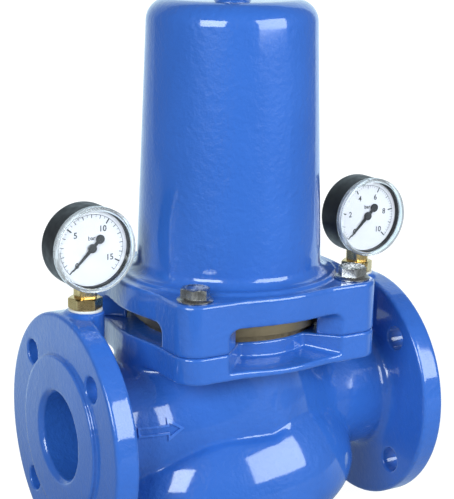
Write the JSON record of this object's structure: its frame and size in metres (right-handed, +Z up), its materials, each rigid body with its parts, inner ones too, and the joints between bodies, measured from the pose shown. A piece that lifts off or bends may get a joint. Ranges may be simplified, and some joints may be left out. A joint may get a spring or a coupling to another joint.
{
  "type": "pressure reducing valve",
  "caption": "Flanged pressure reducing valve with a tall spring bonnet and round pressure gauges on the inlet and outlet flanges.",
  "frame": {"origin": "on the vertical valve axis, at the underside of the body", "axes": "+X along the pipe with the flow, +Z up the valve axis, the gauges face -Y"},
  "size_m": [0.306, 0.185, 0.4805],
  "materials": {
    "blue_paint": "glossy powder coat over cast iron",
    "bronze": "turned bronze casting",
    "brass": "turned brass",
    "steel": "machined steel",
    "bolt_steel": "bright zinc",
    "spring_steel": "dark spring steel",
    "stainless": "fine turned",
    "rubber": "matt",
    "white_seal": "satin",
    "black_case": "satin",
    "clear_window": "clear polycarbonate",
    "dial_white": "satin print",
    "pointer_black": "matt"
  },
  "bodies": {
    "housing": {"valve_body": "blue_paint", "bonnet": "blue_paint", "bonnet_bolts": "bolt_steel", "range_spring": "spring_steel", "diaphragm": "rubber", "valve_insert": "bronze", "insert_upper_oring": "rubber", "insert_lower_oring": "rubber", "seat_ring": "stainless", "inlet_adapter": "brass", "inlet_adapter_seal": "white_seal", "inlet_socket": "brass", "inlet_case": "black_case", "inlet_window": "clear_window", "inlet_dial": "dial_white", "inlet_movement": "brass", "inlet_bourdon_tube": "brass", "outlet_adapter": "brass", "outlet_adapter_seal": "white_seal", "outlet_socket": "brass", "outlet_case": "black_case", "outlet_window": "clear_window", "outlet_dial": "dial_white", "outlet_movement": "brass", "outlet_bourdon_tube": "brass"},
    "spring_plate": {"upper_spring_plate": "steel", "thrust_ball": "steel"},
    "screw": {"adjusting_screw": "bolt_steel"},
    "washer": {"lock_washer": "bolt_steel"},
    "nut": {"lock_nut": "bolt_steel"},
    "moving_set": {"valve_stem": "stainless", "valve_disc": "brass", "disc_seal": "rubber", "seal_retainer": "stainless", "disc_nut": "stainless", "balance_piston": "brass", "piston_seal": "rubber", "stem_spacer": "stainless", "diaphragm_plate": "brass", "lower_spring_plate": "steel", "stem_nut": "stainless"},
    "inlet_hand": {"inlet_pointer": "pointer_black", "inlet_pinion": "brass"},
    "inlet_gear": {"inlet_sector": "brass"},
    "inlet_tip": {"inlet_link": "stainless", "inlet_tube_tip": "brass"},
    "outlet_hand": {"outlet_pointer": "pointer_black", "outlet_pinion": "brass"},
    "outlet_gear": {"outlet_sector": "brass"},
    "outlet_tip": {"outlet_link": "stainless", "outlet_tube_tip": "brass"}
  },
  "joints": [
    {"name": "spring_plate_travel", "type": "slide", "parent": "housing", "child": "spring_plate", "axis": [0, 0, 1], "range_m": [-0.02, 0.008], "stiffness_N_per_m": 350, "springref_m": 0.02, "deforming": ["range_spring"]},
    {"name": "screw_turn", "type": "hinge", "parent": "spring_plate", "child": "screw", "pos_m": [0, 0, 0.428], "axis": [0, 0, 1], "range_deg": [-3601, 1441]},
    {"name": "washer_lift", "type": "slide", "parent": "housing", "child": "washer", "axis": [0, 0, 1], "range_m": [0, 0.002]},
    {"name": "lock_nut_turn", "type": "hinge", "parent": "washer", "child": "nut", "pos_m": [0, 0, 0.436], "axis": [0, 0, 1], "range_deg": [-0.1, 360.1]},
    {"name": "valve_lift", "type": "slide", "parent": "housing", "child": "moving_set", "axis": [0, 0, 1], "range_m": [0, 0.01], "deforming": ["diaphragm", "range_spring"]},
    {"name": "inlet_pointer_turn", "type": "hinge", "parent": "housing", "child": "inlet_hand", "pos_m": [-0.1215, -0.008, 0.241], "axis": [0, 1, 0], "range_deg": [0, 270]},
    {"name": "inlet_sector_turn", "type": "hinge", "parent": "housing", "child": "inlet_gear", "pos_m": [-0.13211, -0.004, 0.22836], "axis": [0, 1, 0], "range_deg": [-27.1, 0.1]},
    {"name": "inlet_link_turn", "type": "hinge", "parent": "inlet_gear", "child": "inlet_tip", "pos_m": [-0.13086, -0.0048, 0.23423], "axis": [0, 1, 0], "range_deg": [-0.1, 27.1]},
    {"name": "outlet_pointer_turn", "type": "hinge", "parent": "housing", "child": "outlet_hand", "pos_m": [0.1215, -0.008, 0.241], "axis": [0, 1, 0], "range_deg": [0, 270]},
    {"name": "outlet_sector_turn", "type": "hinge", "parent": "housing", "child": "outlet_gear", "pos_m": [0.11089, -0.004, 0.22836], "axis": [0, 1, 0], "range_deg": [-27.1, 0.1]},
    {"name": "outlet_link_turn", "type": "hinge", "parent": "outlet_gear", "child": "outlet_tip", "pos_m": [0.11214, -0.0048, 0.23423], "axis": [0, 1, 0], "range_deg": [-0.1, 27.1]}
  ],
  "couplings": [
    {"joint": "screw_turn", "follows": "spring_plate_travel", "rad_per_m": 3141.6},
    {"joint": "lock_nut_turn", "follows": "washer_lift", "rad_per_m": 3141.6},
    {"joint": "inlet_sector_turn", "follows": "inlet_pointer_turn", "ratio": -0.1},
    {"joint": "inlet_link_turn", "follows": "inlet_pointer_turn", "ratio": 0.1},
    {"joint": "outlet_sector_turn", "follows": "outlet_pointer_turn", "ratio": -0.1},
    {"joint": "outlet_link_turn", "follows": "outlet_pointer_turn", "ratio": 0.1}
  ]
}
